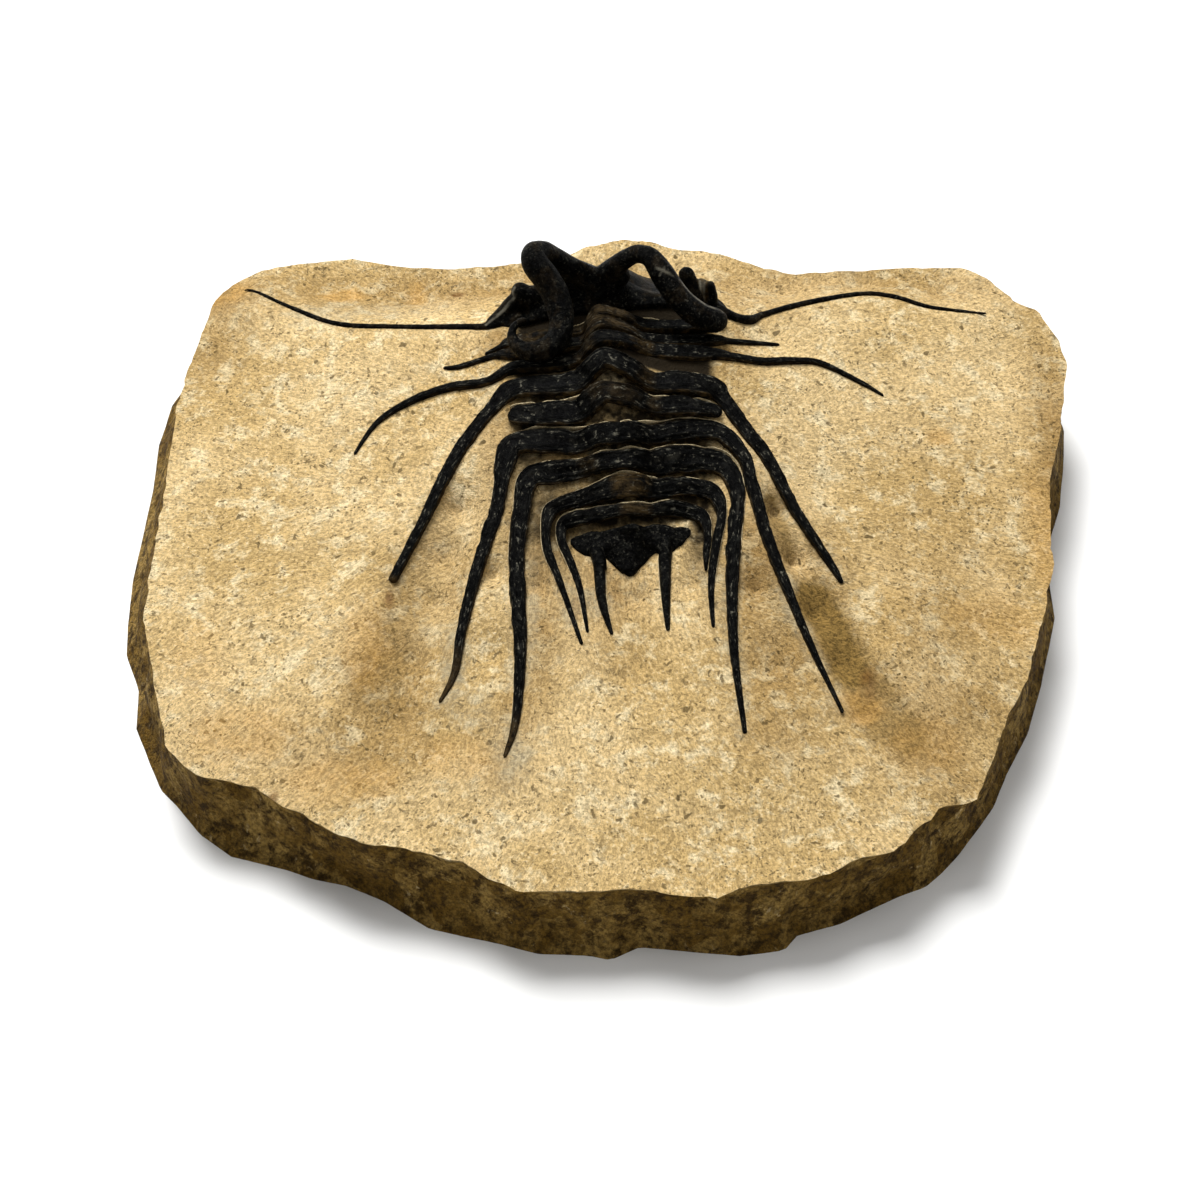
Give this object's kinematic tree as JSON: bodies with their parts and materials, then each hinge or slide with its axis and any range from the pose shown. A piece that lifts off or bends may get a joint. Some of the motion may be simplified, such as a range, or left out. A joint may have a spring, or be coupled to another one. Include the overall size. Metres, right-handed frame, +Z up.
{
  "type": "dicranurus trilobite fossil",
  "caption": "Black spiny trilobite with two curled horns, prepared on a broken block of tan limestone that rests on its flat underside.",
  "frame": {"origin": "centre of the block's bounding box on the flat underside", "axes": "+X to the right seen from behind the tail, +Y towards the animal's head, +Z up out of the underside"},
  "size_m": [0.1312, 0.1084, 0.0353],
  "materials": {
    "limestone": "worked, matte",
    "black_shell": "satin"
  },
  "bodies": {
    "root": {"matrix": "limestone", "cephalon": "black_shell", "thorax_segment_1": "black_shell", "thorax_segment_2": "black_shell", "thorax_segment_3": "black_shell", "thorax_segment_4": "black_shell", "thorax_segment_5": "black_shell", "thorax_segment_6": "black_shell", "thorax_segment_7": "black_shell", "thorax_segment_8": "black_shell", "thorax_segment_9": "black_shell", "pygidium": "black_shell"}
  },
  "joints": []
}
